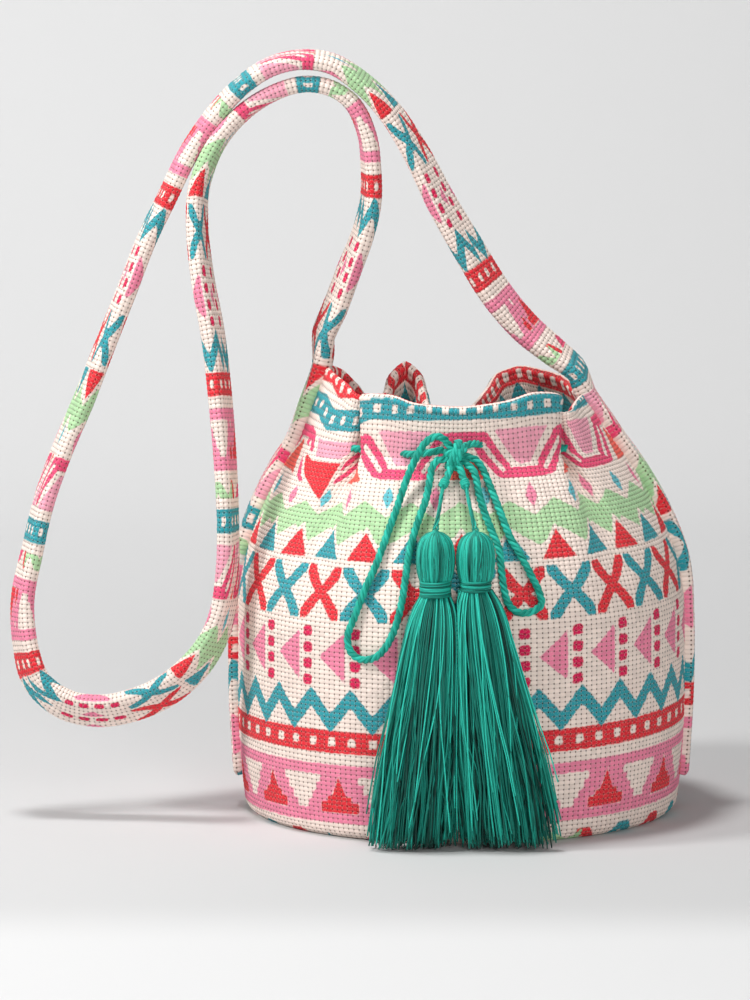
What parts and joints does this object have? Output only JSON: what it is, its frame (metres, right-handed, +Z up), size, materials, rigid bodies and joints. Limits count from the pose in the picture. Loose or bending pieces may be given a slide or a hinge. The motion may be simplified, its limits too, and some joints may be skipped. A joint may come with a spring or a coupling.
{
  "type": "drawstring barrel bag",
  "caption": "Round printed canvas bag gathered by a twisted drawstring tied in a bow, with a long folded shoulder strap and yarn tassels at the front.",
  "frame": {"origin": "centre of the underside of the base", "axes": "+Z up through the mouth, -Y towards the front with the bow and tassels, +X to the right seen from the front"},
  "size_m": [0.3467, 0.2473, 0.3866],
  "materials": {
    "printed_canvas": "heavy woven canvas printed with bands of zigzags, crosses, triangles and dots on cream",
    "strap_canvas": "the same printed canvas folded and stitched into a band",
    "lining_cotton": "plain cream cotton",
    "base_board": "plain stiffening board",
    "drawstring_yarn": "twisted green cotton cord",
    "tassel_yarn": "soft green yarn strands"
  },
  "bodies": {
    "bag": {"bag_body": "printed_canvas", "base_panel": "printed_canvas", "rim_facing": "printed_canvas", "shoulder_strap": "strap_canvas", "base_board": "base_board", "lining_wall": "lining_cotton", "lining_base": "lining_cotton", "drawstring_neck": "drawstring_yarn", "drawstring_knot": "drawstring_yarn", "bow_loop_left": "drawstring_yarn", "bow_loop_right": "drawstring_yarn"},
    "tassel_left": {"cord_tail_left": "drawstring_yarn", "tassel_thread_left": "tassel_yarn", "tassel_head_left": "tassel_yarn", "tassel_binding_left": "tassel_yarn", "tassel_skirt_left": "tassel_yarn"},
    "tassel_right": {"cord_tail_right": "drawstring_yarn", "tassel_thread_right": "tassel_yarn", "tassel_head_right": "tassel_yarn", "tassel_binding_right": "tassel_yarn", "tassel_skirt_right": "tassel_yarn"}
  },
  "joints": [
    {"name": "tassel_left_swing", "type": "hinge", "parent": "bag", "child": "tassel_left", "pos_m": [-0.0035, -0.081, 0.192], "axis": [-1, 0, 0], "range_deg": [0, 70]},
    {"name": "tassel_right_swing", "type": "hinge", "parent": "bag", "child": "tassel_right", "pos_m": [-0.0035, -0.081, 0.192], "axis": [-1, 0, 0], "range_deg": [0, 70]}
  ]
}
